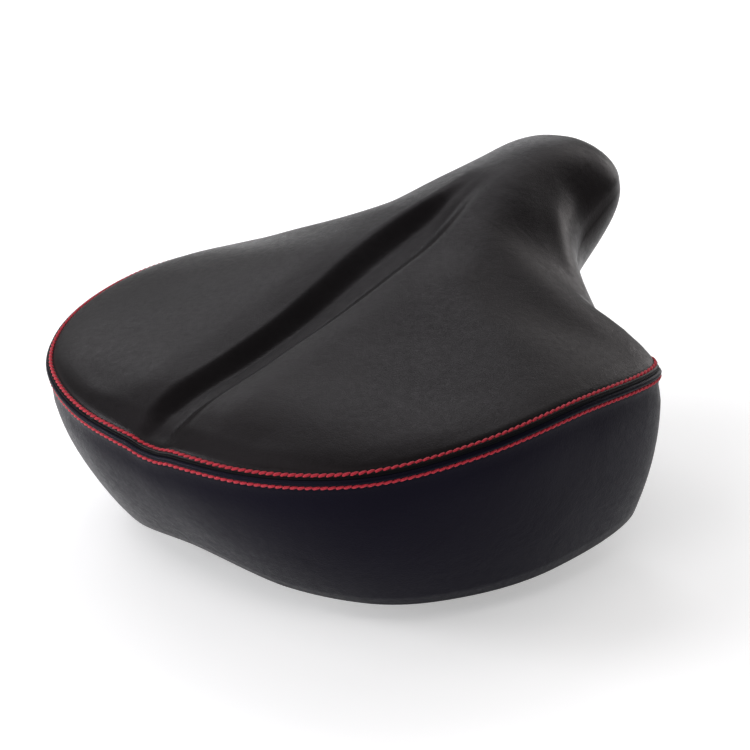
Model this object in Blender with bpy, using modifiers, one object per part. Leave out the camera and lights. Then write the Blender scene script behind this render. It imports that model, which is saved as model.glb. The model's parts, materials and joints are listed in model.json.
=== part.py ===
"""Comfort bicycle saddle: cover, foam and base on a rail loop with two rubber springs,
and the clamp that holds the rails on a plain seat post.

+X is the rider's right, +Y points to the nose and +Z is up. The origin is the middle of
the seat post's socket, at the lower edge of the collar. Lengths are in millimetres in the
saddle's own frame, whose zero is the middle of the rear seam, until place() puts them in
the part's frame in metres.
"""

import math

import bmesh
import bpy
import numpy as np
from mathutils import Matrix, Quaternion, Vector

MM = 0.001
SOCKET = np.array([0.0, 140.0, -64.0])  # the origin, in the saddle's frame
GAP = 0.3  # between pieces that touch

# Half of the saddle's outline, from the middle of the back round the right wing to the
# nose: x, y, height of the edge, height of the hem, how far the hem lies inside the edge.
HALF_OUTLINE = np.array(
    [
        (0, 0, 3, -48, 22),
        (49, 5, 3, -54, 26),
        (90, 25, 8, -54, 23),
        (112, 60, 14, -54, 19),
        (121, 109, 17, -55, 12),
        (118, 161, 14, -48, 8),
        (87, 174, 10, -31, 4),
        (56, 194, 21, -10, 3),
        (38, 217, 36, 6, 8),
        (32, 253, 48, 21, 14),
        (0, 277, 45, 28, 21),
    ],
    float,
)
SPANS = len(HALF_OUTLINE) - 1
CREST = np.array([(0, 12), (60, 25), (120, 37), (170, 43), (215, 70), (264, 68)], float)
SPINE = (22.0, 250.0)  # the outline's spokes meet the middle line between these
GROOVE_DEPTH = np.array([(0, 5), (30, 11), (90, 14), (150, 12), (205, 0)], float)
GROOVE_HALF_WIDTH = np.array([(0, 17), (35, 13), (150, 12), (205, 6)], float)
WALL_BULGE = 3.0
SEAM_END = 6.25  # the seam leaves the edge for the hem here, counted in outline spans

STITCH_ROW = 3.2  # from the seam to each row of stitches
THREAD_RADIUS, THREAD_RISE = 0.5, 1.0
WELT_RADIUS, WELT_RISE = 0.9, 1.3

COVER = 1.6
SHELL = 2.4
SHELL_DROP = 26.0  # crest of the base below the crest of the cover
SHELL_EDGE_DROP = 0.26  # edge of the base below the cover's, as a share of the wall
SHELL_EDGE_INSET = 8.0
HEM_TUCK = 6.0

ROD = 3.5
RAIL_HALF_SPACING = 22.0
RAIL_Z = -42.0
RAIL_REAR_Y = 44.0
RAIL_BEND_Y = 168.0
BAR_Y, BAR_Z = 231.0, 20.0
BAR_HALF = 9.0
BAR_BEND = 7.0
RAIL_BEND = 28.0
BLOCK_HALF = (8.5, 13.0)  # nose socket, across and along
CAP_THICK = 6.5
NOSE_SCREW_STEP = 8.5
SCREW_RADIUS, SCREW_HEAD_RADIUS, SCREW_HEAD = 2.0, 4.0, 3.0
SCREW_HOLE = 2.4
SCREW_REACH = 10.0

BRIDGE_Y = 57.0
BRIDGE_SIZE = (128.0, 28.0, 3.0)
BRIDGE_WINDOW = 8.0
BRIDGE_LOW = RAIL_Z + ROD + GAP
SPRING_X = 46.0
SPRING_RADIUS, SPRING_WAIST, SPRING_BORE = 14.0, 12.0, 3.4
SPRING_HEIGHT = 23.0
SPRING_BOTTOM = BRIDGE_LOW + BRIDGE_SIZE[2] + GAP
SPRING_BOLT_RADIUS, SPRING_BOLT_REACH = 3.0, 11.0
SPRING_BOLT_HEAD, SPRING_BOLT_HEAD_RADIUS = 4.0, 5.5
SEAT_LIP, SEAT_WALL = 0.8, 2.0  # round the spring: clearance and wall
SEAT_DEPTH = 3.0
SEAT_SCREW_GRIP = 1.6

BOLT_Y = 117.5
BOLT_Z = RAIL_Z - 9.0
BOLT_RADIUS = 4.0
POST_BORE = 11.2  # for a 22.2 mm post
COLLAR_WALL = 3.1
COLLAR_HEIGHT = 26.0
EAR_INNER, EAR_OUTER, EAR_RADIUS = 4.5, 8.0, 15.0
CUP_LENGTH = 36.0
CUP_OUTER = 30.0
CUP_BELOW, CUP_ABOVE = 11.0, 6.5  # below the bolt, above the rails
CUP_BEVEL = 1.5
DISC_RADIUS = 10.5
WASHER_RADIUS, WASHER = 9.0, 1.6
HEX_RADIUS = 7.5
HEAD_HEIGHT, NUT_HEIGHT = 5.5, 6.5
THREAD_END = 9.0
BOLT_CLEARANCE = 0.4
RAIL_CLEARANCE = 0.3
REACH = 20.0  # of a cutter past what it cuts
SIDES = (("left", -1), ("right", 1))

AROUND = np.arange(0, 2 * SPANS, 0.25)
TOP_ROWS = (0, 0.06, 0.12, 0.2, 0.35, 0.55, 0.75, 0.9, 1)
WALL_ROWS = (1.25, 1.5, 1.75, 2)


def place(points):
    """Saddle millimetres as metres in the part's frame."""
    return (np.asarray(points, float) - SOCKET) * MM


def new_collection(name, hidden=False):
    collection = bpy.data.collections.new(name)
    collection.hide_render = hidden
    bpy.context.scene.collection.children.link(collection)
    return collection


def material(name, colour, roughness, metallic=0.0):
    made = bpy.data.materials.new(name)
    made.use_nodes = True
    shader = made.node_tree.nodes["Principled BSDF"]
    shader.inputs["Base Color"].default_value = (*colour, 1)
    shader.inputs["Roughness"].default_value = roughness
    shader.inputs["Metallic"].default_value = metallic
    return made


def add_object(name, data, look, collection=None):
    made = bpy.data.objects.new(name, data)
    (collection or PARTS).objects.link(made)
    if look:
        made.data.materials.append(look)
    return made


def from_bmesh(name, mesh, look, collection=None):
    data = bpy.data.meshes.new(name)
    mesh.to_mesh(data)
    mesh.free()
    return add_object(name, data, look, collection)


# ---------------------------------------------------------------- the saddle's form


def outline(turn):
    """Rows of HALF_OUTLINE, smoothly between its points, for turns round the saddle."""
    turn = np.mod(turn, 2 * SPANS)
    side = np.where(turn > SPANS, -1.0, 1.0)
    turn = np.where(turn > SPANS, 2 * SPANS - turn, turn)
    before, after = HALF_OUTLINE[1].copy(), HALF_OUTLINE[-2].copy()
    before[0] *= -1
    after[0] *= -1
    rows = np.vstack([before, HALF_OUTLINE, after])
    span = np.minimum(turn.astype(int), SPANS - 1)
    t = (turn - span)[..., None]
    a, b, c, d = (rows[span + k] for k in range(4))
    smooth = 2 * b + (c - a) * t + (2 * a - 5 * b + 4 * c - d) * t**2
    smooth = (smooth + (3 * b - a - 3 * c + d) * t**3) / 2
    smooth[..., 0] *= side
    return smooth


def outward(turn):
    """The outline's outward direction in plan."""
    step = (outline(turn + 0.02) - outline(turn - 0.02))[..., :2]
    normal = np.stack([step[..., 1], -step[..., 0]], -1)
    return normal / np.linalg.norm(normal, axis=-1, keepdims=True)


def groove(x, y):
    """How far the long middle groove lies below the crest."""
    depth = np.interp(y, *GROOVE_DEPTH.T)
    across = np.clip(np.abs(x) / np.interp(y, *GROOVE_HALF_WIDTH.T), 0, 1)
    return depth * (1 - across**2) ** 2


def form(turn, down, inner=False):
    """Points of the cover's outer surface, or of the base's with inner.

    down runs from the spine (0) over the edge (1) to the hem (2) and under it (3).
    """
    turn, down = np.broadcast_arrays(np.asarray(turn, float), np.asarray(down, float))
    x, y, edge, hem, hem_inset = np.moveaxis(outline(turn), -1, 0)
    normal = outward(turn)
    if inner:
        x = x - normal[..., 0] * SHELL_EDGE_INSET
        y = y - normal[..., 1] * SHELL_EDGE_INSET
        edge = edge - SHELL_EDGE_DROP * (edge - hem)
        hem = hem + 2 * COVER + GAP
        hem_inset = hem_inset - SHELL_EDGE_INSET + COVER + 2 * GAP
    spoke = np.clip(down, 0, 1)
    spine_y = np.clip(y, *SPINE)
    top_x = x * spoke
    top_y = spine_y + (y - spine_y) * spoke
    crest = smooth_crest(top_y) - (SHELL_DROP if inner else 0)
    nose = np.clip((y - 140) / 50, 0, 1)
    nose = nose * nose * (3 - 2 * nose)
    fall = 1 - spoke ** (1.7 + 0.3 * nose)
    top_z = edge + (crest - edge) * fall ** (1 / (1 + nose))

    wall = np.clip(down - 1, 0, 1)
    bulge = 0 if inner else WALL_BULGE * 4 * wall * (1 - wall)
    tuck = np.clip(down - 2, 0, 1) * HEM_TUCK
    inset = hem_inset * wall**1.3 - bulge + tuck
    top_z = top_z + (hem - edge) * wall
    if not inner:
        top_z = top_z - groove(top_x, top_y) * (1 - np.clip(2 * wall, 0, 1))
    return np.stack(
        [top_x - normal[..., 0] * inset, top_y - normal[..., 1] * inset, top_z], -1
    )


def smooth_crest(y):
    """Height of the middle line, eased between the crest's points."""
    knots, heights = CREST.T
    slopes = np.gradient(heights, knots)
    span = np.clip(np.searchsorted(knots, y, side="right") - 1, 0, len(knots) - 2)
    length = knots[span + 1] - knots[span]
    t = np.clip((y - knots[span]) / length, 0, 1)
    return (
        heights[span] * (1 + 2 * t) * (1 - t) ** 2
        + heights[span + 1] * t * t * (3 - 2 * t)
        + length * slopes[span] * t * (1 - t) ** 2
        - length * slopes[span + 1] * t * t * (1 - t)
    )


def form_normal(turn, down, inner=False):
    """Outward direction of the form, straight up on the spine."""
    turn, down = np.broadcast_arrays(np.asarray(turn, float), np.asarray(down, float))
    low, high = np.maximum(down - 0.02, 0.01), np.maximum(down + 0.02, 0.03)
    along = form(turn + 0.03, np.maximum(down, 0.02), inner)
    along = along - form(turn - 0.03, np.maximum(down, 0.02), inner)
    normal = np.cross(form(turn, high, inner) - form(turn, low, inner), along)
    normal /= np.linalg.norm(normal, axis=-1, keepdims=True)
    normal[down == 0] = (0, 0, 1)
    return normal


def layer(rows, depth, inner=False):
    """A grid of points, rows down the form by columns round it, depth below it."""
    down = np.asarray(rows, float)[:, None]
    turn = AROUND[None, :]
    return form(turn, down, inner) - depth * form_normal(turn, down, inner)


def two_layers(name, outside, inside, cells, look):
    """A closed solid between two grids, over the cells where the mask is set.

    Every layer splits its cells along the same diagonals, so that layers never cross.
    """
    points = np.concatenate([outside.reshape(-1, 3), inside.reshape(-1, 3)])
    keys = np.round(points, 4)
    _, first, merged = np.unique(keys, axis=0, return_index=True, return_inverse=True)
    merged = merged.reshape(-1)
    rows, columns = outside.shape[:2]
    behind = rows * columns
    mesh = bmesh.new()
    corners = {}

    def corner(index):
        key = merged[index]
        if key not in corners:
            corners[key] = mesh.verts.new(place(points[first[key]]))
        return corners[key]

    def face(indices):
        loop = []
        for vertex in map(corner, indices):
            if vertex not in loop:
                loop.append(vertex)
        if len(loop) > 2:
            mesh.faces.new(loop)

    edges = {}
    for row, column in zip(*np.nonzero(cells)):
        right = (column + 1) % columns
        quad = [
            row * columns + column,
            row * columns + right,
            (row + 1) * columns + right,
            (row + 1) * columns + column,
        ]
        a, b, c, d = quad
        halves = ((a, b, c), (a, c, d)) if column < columns / 2 else ((a, b, d), (b, c, d))
        for half in halves:
            face(half[::-1])
            face([behind + index for index in half])
        for start, end in zip(quad, quad[1:] + quad[:1]):
            key = frozenset((merged[start], merged[end]))
            if len(key) == 2:
                edges.setdefault(key, []).append((start, end))
    for uses in edges.values():
        if len(uses) == 1:
            start, end = uses[0]
            face([start, end, behind + end, behind + start])
    return from_bmesh(name, mesh, look)


def cover_panels():
    """The top panel with the nose, and the side band, mitred where they meet."""
    rows = np.array([*TOP_ROWS, *WALL_ROWS, 2.6])
    outside, inside = layer(rows, 0), layer(rows, COVER)
    edge_row = len(TOP_ROWS) - 1
    wall_cell = np.arange(len(rows) - 1)[:, None] >= edge_row
    turn = AROUND[None, :] + 0.125
    on_band = wall_cell & ((turn < SEAM_END) | (turn > 2 * SPANS - SEAM_END))
    band_ends = (np.argmin(abs(AROUND - SEAM_END)), np.argmin(abs(AROUND - 2 * SPANS + SEAM_END)))
    band_columns = (AROUND <= SEAM_END) | (AROUND >= 2 * SPANS - SEAM_END)
    for name, cells, way, look in (
        ("cover_top_panel", ~on_band, -1, TOP_LEATHER),
        ("cover_side_band", on_band, 1, BAND_LEATHER),
    ):
        grids = [outside.copy(), inside.copy()]
        for grid in grids:
            down = grid[edge_row + 1] - grid[edge_row]
            up = grid[edge_row - 1] - grid[edge_row]
            shift = down if way > 0 else up
            shift = shift / np.linalg.norm(shift, axis=-1, keepdims=True) * GAP / 2
            grid[edge_row, band_columns] += shift[band_columns]
            for end, step in zip(band_ends, (-1, 1)):
                aside = grid[edge_row:, end + way * step] - grid[edge_row:, end]
                aside *= GAP / 2 / np.linalg.norm(aside, axis=-1, keepdims=True)
                grid[edge_row + (way < 0) :, end] += aside[(way < 0) :]
        two_layers(name, *grids, cells, look)


def foam_cushion():
    rows = np.array([*TOP_ROWS, 1.25, 1.5, 1.75])
    outside = layer(rows, COVER + GAP)
    inside = layer(rows, -2 * GAP, inner=True)
    cells = np.ones((len(rows) - 1, len(AROUND)), bool)
    two_layers("foam_cushion", outside, inside, cells, FOAM)


def base_shell(cutters):
    rows = np.array([*TOP_ROWS, 1.25, 1.5, 1.75, 2])
    outside, inside = layer(rows, 0, inner=True), layer(rows, SHELL, inner=True)
    cells = np.ones((len(rows) - 1, len(AROUND)), bool)
    shell = two_layers("base_shell", outside, inside, cells, SHELL_PLASTIC)
    for cutter in cutters:
        cut(shell, cutter)
    return shell


def shell_underside(x, y, radius):
    """The lowest point of the base's roof over a round patch, seen from below."""
    rows = np.linspace(0, 1, 41)
    turns = np.linspace(0, 2 * SPANS, 321)[None, :]
    points = form(turns, rows[:, None], inner=True)
    points = points - SHELL * form_normal(turns, rows[:, None], inner=True)
    near = np.hypot(points[..., 0] - x, points[..., 1] - y) < radius
    return points[near][:, 2].min()


def beside_seam(turns, distance, height):
    """Points this far from the seam, up the top panel, or down the band if negative."""
    middle = form(turns, 1.0)
    along = form(turns, 0.96 if distance > 0 else 1.05) - middle
    along /= np.linalg.norm(along, axis=-1, keepdims=True)
    normal = form_normal(turns, 0.96 if distance > 0 else 1.05)
    return middle + along * abs(distance) + normal * height


def seam_pieces():
    turns = np.arange(-SEAM_END + 0.25, SEAM_END - 0.2, 0.25)
    welt = form(turns, 1.0) + form_normal(turns, 1.0) * WELT_RISE
    tube("seam_welt", welt, WELT_RADIUS, WELT, resolution=1)
    for name, distance in (("upper_seam_thread", STITCH_ROW), ("lower_seam_thread", -STITCH_ROW)):
        path = beside_seam(turns, distance, THREAD_RISE)
        tube(name, path, THREAD_RADIUS, THREAD, resolution=0)


# ------------------------------------------------------------------- simple shapes


def tube(name, points, radius, look, resolution=2):
    curve = bpy.data.curves.new(name, "CURVE")
    curve.dimensions = "3D"
    curve.bevel_depth = radius * MM
    curve.bevel_resolution = resolution
    curve.use_fill_caps = True
    spline = curve.splines.new("POLY")
    spline.points.add(len(points) - 1)
    for point, spot in zip(spline.points, place(points)):
        point.co = (*spot, 1)
    return add_object(name, curve, look)


def rounded(points, radii, steps=6):
    """A path through the points with its inner corners rounded to these radii."""
    points = [Vector(point) for point in points]
    path = [points[0]]
    for before, here, after, radius in zip(points, points[1:], points[2:], radii):
        into, out = (before - here).normalized(), (after - here).normalized()
        half = into.angle(out) / 2
        middle = here + (into + out).normalized() * radius / math.sin(half)
        first = here + into * radius / math.tan(half)
        last = here + out * radius / math.tan(half)
        sweep = (first - middle).rotation_difference(last - middle)
        for step in range(steps + 1):
            turn = Quaternion(sweep.axis, sweep.angle * step / steps)
            path.append(middle + turn @ (first - middle))
    return [*path, points[-1]]


def cylinder(name, ends, radius, look, collection=None, sides=32):
    """A cylinder between two points of the saddle's frame."""
    low, high = (Vector(place(end)) for end in ends)
    mesh = bmesh.new()
    bmesh.ops.create_cone(
        mesh,
        cap_ends=True,
        segments=sides,
        radius1=radius * MM,
        radius2=radius * MM,
        depth=(high - low).length,
    )
    turn = (high - low).to_track_quat("Z", "Y").to_matrix().to_4x4()
    mesh.transform(Matrix.Translation((low + high) / 2) @ turn)
    return from_bmesh(name, mesh, look, collection)


def box(name, low, high, look, collection=None, bevel=0.0):
    low, high = Vector(place(low)), Vector(place(high))
    mesh = bmesh.new()
    bmesh.ops.create_cube(mesh, size=1)
    mesh.transform(Matrix.Translation((low + high) / 2) @ Matrix.Diagonal((*(high - low), 1)))
    made = from_bmesh(name, mesh, look, collection)
    if bevel:
        rounding = made.modifiers.new("rounding", "BEVEL")
        rounding.width = bevel * MM
        rounding.segments = 2
    return made


def turned(name, profile, centre, look, steps=32, along_x=False):
    """A ring or a solid of revolution from (radius, height) points, bottom to top outside."""
    mesh = bmesh.new()
    corners = [mesh.verts.new((r * MM, 0, z * MM)) for r, z in reversed(profile)]
    pairs = list(zip(corners, corners[1:]))
    if profile[0][0] > 0:
        pairs.append((corners[-1], corners[0]))
    for pair in pairs:
        mesh.edges.new(pair)
    data = bpy.data.meshes.new(name)
    mesh.to_mesh(data)
    mesh.free()
    made = add_object(name, data, look)
    made.location = place(centre)
    if along_x:
        made.rotation_euler = (0, math.pi / 2, 0)
    screw = made.modifiers.new("turn", "SCREW")
    screw.steps = steps
    screw.render_steps = steps
    screw.use_merge_vertices = True
    screw.merge_threshold = 1e-5
    return made


def cut(target, cutter, operation="DIFFERENCE"):
    boolean = target.modifiers.new(cutter.name, "BOOLEAN")
    boolean.object = cutter
    boolean.operation = operation
    boolean.solver = "EXACT"
    cutter.display_type = "WIRE"


# ------------------------------------------------------------- rails and suspension


def rail_loop():
    right = [
        (0, BAR_Y, BAR_Z),
        (BAR_HALF + BAR_BEND, BAR_Y, BAR_Z),
        (RAIL_HALF_SPACING, RAIL_BEND_Y, RAIL_Z),
        (RAIL_HALF_SPACING, RAIL_REAR_Y, RAIL_Z),
    ]
    path = rounded(right, (BAR_BEND, RAIL_BEND))
    mirrored = [Vector((-p.x, p.y, p.z)) for p in path[:0:-1]]
    tube("rail_loop", mirrored + path, ROD, STEEL)


def rear_bridge():
    length, width, thick = BRIDGE_SIZE
    bridge = box(
        "rear_bridge",
        (-length / 2, BRIDGE_Y - width / 2, BRIDGE_LOW),
        (length / 2, BRIDGE_Y + width / 2, BRIDGE_LOW + thick),
        STEEL,
    )
    for name, x, radius in (
        ("left_bridge_hole", -SPRING_X, SPRING_BORE),
        ("right_bridge_hole", SPRING_X, SPRING_BORE),
        ("bridge_window", 0, BRIDGE_WINDOW),
    ):
        ends = (x, BRIDGE_Y, BRIDGE_LOW - REACH), (x, BRIDGE_Y, BRIDGE_LOW + REACH)
        cut(bridge, cylinder(name, ends, radius, None, CUTTERS))


def rubber_springs():
    half, wide = SPRING_HEIGHT / 2, SPRING_RADIUS
    lower = [(SPRING_BORE, -half), (SPRING_WAIST, -half), (wide, -half + 3)]
    lower += [(wide, -3), (SPRING_WAIST, -1)]
    profile = lower + [(radius, -height) for radius, height in reversed(lower)]
    low, radius = -SPRING_BOLT_HEAD - GAP, SPRING_BOLT_RADIUS
    bolt = [(0, low), (SPRING_BOLT_HEAD_RADIUS, low), (SPRING_BOLT_HEAD_RADIUS, -GAP)]
    bolt += [(radius, -GAP), (radius, SPRING_BOLT_REACH), (0, SPRING_BOLT_REACH)]
    for side, sign in SIDES:
        x = sign * SPRING_X
        centre = (x, BRIDGE_Y, SPRING_BOTTOM + half)
        turned(f"{side}_rubber_spring", profile, centre, RUBBER, steps=24)
        turned(f"{side}_spring_bolt", bolt, (x, BRIDGE_Y, BRIDGE_LOW), ZINC, steps=20)


def spring_seats():
    """Cups under the base that sit on the springs, each with a screw up into the base."""
    holes = []
    base = SPRING_BOTTOM + SPRING_HEIGHT + GAP
    lip = SPRING_RADIUS + SEAT_LIP
    outside = lip + SEAT_WALL
    for side, sign in SIDES:
        x = sign * SPRING_X
        rise = shell_underside(x, BRIDGE_Y, outside) - GAP - base
        profile = [(SCREW_HOLE, 0), (lip, 0), (lip, -SEAT_DEPTH), (outside, -SEAT_DEPTH)]
        profile += [(outside, rise), (SCREW_HOLE, rise)]
        turned(f"{side}_spring_seat", profile, (x, BRIDGE_Y, base), SHELL_PLASTIC, steps=24)
        top = shell_underside(x, BRIDGE_Y, 2 * SCREW_RADIUS) + SEAT_SCREW_GRIP
        length = top - base
        screw = [(0, 0), (SCREW_RADIUS, 0), (SCREW_RADIUS, length), (0, length)]
        turned(f"{side}_seat_screw", screw, (x, BRIDGE_Y, base), ZINC, steps=16)
        ends = (x, BRIDGE_Y, top - REACH), (x, BRIDGE_Y, top + REACH)
        hole = cylinder(f"{side}_seat_screw_hole", ends, SCREW_HOLE, None, CUTTERS, sides=16)
        holes.append(hole)
    return holes


def nose_socket():
    """The block and cap that hold the loop's cross bar, and their two screws."""
    half_x, half_y = BLOCK_HALF
    roof = shell_underside(0, BAR_Y, math.hypot(half_x, half_y)) - GAP
    bar_ends = (-REACH, BAR_Y, BAR_Z), (REACH, BAR_Y, BAR_Z)
    bar = cylinder("bar_bore", bar_ends, ROD + RAIL_CLEARANCE, None, CUTTERS)
    block = box(
        "nose_socket",
        (-half_x, BAR_Y - half_y, BAR_Z),
        (half_x, BAR_Y + half_y, roof),
        SHELL_PLASTIC,
    )
    cap = box(
        "nose_socket_cap",
        (-half_x, BAR_Y - half_y, BAR_Z - CAP_THICK),
        (half_x, BAR_Y + half_y, BAR_Z - GAP),
        STEEL,
    )
    for piece in (block, cap):
        cut(piece, bar)
    low = BAR_Z - CAP_THICK - GAP
    head, shank, top = SCREW_HEAD_RADIUS, SCREW_RADIUS, BAR_Z + SCREW_REACH
    screw = [(0, low - SCREW_HEAD), (head, low - SCREW_HEAD), (head, low)]
    screw += [(shank, low), (shank, top), (0, top)]
    for end, step in (("rear", -NOSE_SCREW_STEP), ("front", NOSE_SCREW_STEP)):
        y = BAR_Y + step
        ends = (0, y, BAR_Z - REACH), (0, y, top + 2)
        hole = cylinder(f"{end}_nose_screw_hole", ends, SCREW_HOLE, None, CUTTERS, sides=16)
        cut(block, hole)
        cut(cap, hole)
        turned(f"{end}_nose_screw", screw, (0, y, 0), ZINC, steps=16)


# ----------------------------------------------------------------- seat post clamp


def post_collar():
    """A strap round the post, whose two ears stand behind it on the clamp's bolt."""
    post_y = SOCKET[1]
    low, high = SOCKET[2], SOCKET[2] + COLLAR_HEIGHT
    ring = POST_BORE + COLLAR_WALL
    collar = cylinder("post_collar", ((0, post_y, low), (0, post_y, high)), ring, STEEL, sides=48)
    ears_ends = (-EAR_OUTER, BOLT_Y, BOLT_Z), (EAR_OUTER, BOLT_Y, BOLT_Z)
    ears = cylinder("ears", ears_ends, EAR_RADIUS, None, CUTTERS)
    corners = (-EAR_OUTER, BOLT_Y, low + 1), (EAR_OUTER, post_y, high - 1)
    cheeks = box("cheeks", *corners, None, CUTTERS)
    bore_ends = (0, post_y, low - REACH), (0, post_y, high + REACH)
    bore = cylinder("post_bore", bore_ends, POST_BORE, None, CUTTERS, sides=48)
    corners = (
        (-EAR_INNER, BOLT_Y - 2 * EAR_RADIUS, low - REACH),
        (EAR_INNER, post_y - 5, high + REACH),
    )
    slot = box("collar_slot", *corners, None, CUTTERS)
    hole_ends = (-REACH, BOLT_Y, BOLT_Z), (REACH, BOLT_Y, BOLT_Z)
    hole = cylinder("ear_hole", hole_ends, BOLT_RADIUS + BOLT_CLEARANCE, None, CUTTERS)
    for cutter in (ears, cheeks):
        cut(collar, cutter, "UNION")
    for cutter in (bore, slot, hole):
        cut(collar, cutter)


def rail_clamp():
    """Two pairs of cups round the rails and the bolt that squeezes them."""
    bore = BOLT_RADIUS + BOLT_CLEARANCE
    hole_ends = (-CUP_OUTER - REACH, BOLT_Y, BOLT_Z), (CUP_OUTER + REACH, BOLT_Y, BOLT_Z)
    hole = cylinder("cup_hole", hole_ends, bore, None, CUTTERS)
    y_low, y_high = BOLT_Y - CUP_LENGTH / 2, BOLT_Y + CUP_LENGTH / 2
    z_low, z_high = BOLT_Z - CUP_BELOW, RAIL_Z + CUP_ABOVE
    inner_near = POST_BORE + COLLAR_WALL + 2 * GAP
    for side, sign in SIDES:
        rail_x = sign * RAIL_HALF_SPACING
        ends = (rail_x, y_low - REACH, RAIL_Z), (rail_x, y_high + REACH, RAIL_Z)
        channel = cylinder(f"{side}_channel", ends, ROD + RAIL_CLEARANCE, None, CUTTERS)
        ends = (sign * (EAR_OUTER + GAP), BOLT_Y, BOLT_Z), (sign * (inner_near + 3), BOLT_Y, BOLT_Z)
        disc = cylinder(f"{side}_serrated_disc", ends, DISC_RADIUS, None, CUTTERS)
        for name, near, far in (
            ("inner_cup", inner_near, RAIL_HALF_SPACING - GAP),
            ("outer_cup", RAIL_HALF_SPACING + GAP, CUP_OUTER),
        ):
            low_x, high_x = sorted((sign * near, sign * far))
            corners = (low_x, y_low, z_low), (high_x, y_high, z_high)
            cup = box(f"{side}_{name}", *corners, STEEL, bevel=CUP_BEVEL)
            if name == "inner_cup":
                cut(cup, disc, "UNION")
            cut(cup, channel)
            cut(cup, hole)
        washer = [(bore, 0), (WASHER_RADIUS, 0), (WASHER_RADIUS, WASHER), (bore, WASHER)]
        washer_x = sign * (CUP_OUTER + GAP) - (WASHER if sign < 0 else 0)
        turned(f"{side}_clamp_washer", washer, (washer_x, BOLT_Y, BOLT_Z), ZINC, 32, True)
    face = CUP_OUTER + 2 * GAP + WASHER
    ends = (-face - HEAD_HEIGHT, BOLT_Y, BOLT_Z), (-face, BOLT_Y, BOLT_Z)
    bolt = cylinder("clamp_bolt", ends, HEX_RADIUS, ZINC, sides=6)
    ends = (-face - HEAD_HEIGHT / 2, BOLT_Y, BOLT_Z), (face + THREAD_END, BOLT_Y, BOLT_Z)
    cut(bolt, cylinder("shank", ends, BOLT_RADIUS, None, CUTTERS, sides=24), "UNION")
    ends = (face, BOLT_Y, BOLT_Z), (face + NUT_HEIGHT, BOLT_Y, BOLT_Z)
    nut = cylinder("clamp_nut", ends, HEX_RADIUS, ZINC, sides=6)
    cut(nut, hole)


for old in list(bpy.data.objects):
    bpy.data.objects.remove(old)
PARTS = new_collection("bicycle_saddle")
CUTTERS = new_collection("cutters", hidden=True)

TOP_LEATHER = material("top_leather", (0.022, 0.02, 0.02), 0.5)
BAND_LEATHER = material("band_leather", (0.011, 0.011, 0.016), 0.45)
WELT = material("welt", (0.01, 0.01, 0.011), 0.4)
THREAD = material("red_thread", (0.55, 0.03, 0.035), 0.7)
FOAM = material("foam", (0.12, 0.12, 0.12), 0.95)
SHELL_PLASTIC = material("shell_plastic", (0.015, 0.015, 0.016), 0.5)
RUBBER = material("rubber", (0.02, 0.02, 0.02), 0.75)
STEEL = material("black_steel", (0.02, 0.02, 0.022), 0.35, 0.6)
ZINC = material("zinc_steel", (0.55, 0.55, 0.57), 0.35, 1.0)

cover_panels()
seam_pieces()
foam_cushion()
base_shell(spring_seats())
nose_socket()
rail_loop()
rear_bridge()
rubber_springs()
rail_clamp()
post_collar()
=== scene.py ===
"""Looks of the bicycle saddle: grained cover with its middle groove, the red double seam,
foam, base, rails, rubber springs and post clamp, lit by soft studio light on a pale floor.

Lengths in the form's functions are millimetres in the saddle's own frame, whose zero is the
middle of the rear seam; place() puts them in the model's frame in metres.
"""

import json
import math

import bmesh
import bpy
import numpy as np
from mathutils import Matrix, Vector, noise
from mathutils.kdtree import KDTree


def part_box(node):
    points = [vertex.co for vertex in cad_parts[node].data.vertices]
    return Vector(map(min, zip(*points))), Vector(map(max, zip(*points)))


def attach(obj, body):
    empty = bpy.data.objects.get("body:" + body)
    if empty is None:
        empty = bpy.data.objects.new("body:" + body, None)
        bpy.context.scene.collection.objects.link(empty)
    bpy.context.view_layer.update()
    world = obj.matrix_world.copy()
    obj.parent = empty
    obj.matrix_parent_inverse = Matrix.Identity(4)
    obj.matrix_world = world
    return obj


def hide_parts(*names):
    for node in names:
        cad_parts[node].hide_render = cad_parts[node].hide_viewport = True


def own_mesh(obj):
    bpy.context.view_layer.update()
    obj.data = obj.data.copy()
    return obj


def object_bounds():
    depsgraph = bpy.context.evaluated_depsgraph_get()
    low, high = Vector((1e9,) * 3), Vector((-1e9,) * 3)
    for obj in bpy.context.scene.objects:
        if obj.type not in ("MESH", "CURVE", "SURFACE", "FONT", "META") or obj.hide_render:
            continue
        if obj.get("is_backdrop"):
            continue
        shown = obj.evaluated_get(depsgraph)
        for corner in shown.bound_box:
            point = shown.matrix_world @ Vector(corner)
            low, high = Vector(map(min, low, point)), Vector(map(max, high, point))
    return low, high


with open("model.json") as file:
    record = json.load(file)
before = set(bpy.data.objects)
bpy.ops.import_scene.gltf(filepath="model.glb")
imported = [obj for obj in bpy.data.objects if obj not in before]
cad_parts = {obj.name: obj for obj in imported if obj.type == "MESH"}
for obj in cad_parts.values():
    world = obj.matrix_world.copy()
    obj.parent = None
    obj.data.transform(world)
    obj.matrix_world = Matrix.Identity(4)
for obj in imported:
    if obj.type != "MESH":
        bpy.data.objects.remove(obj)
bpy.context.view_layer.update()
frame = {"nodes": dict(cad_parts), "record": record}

MM = 0.001
SOCKET = np.array([0.0, 140.0, -64.0])  # the model's origin, in the saddle's frame

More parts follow.
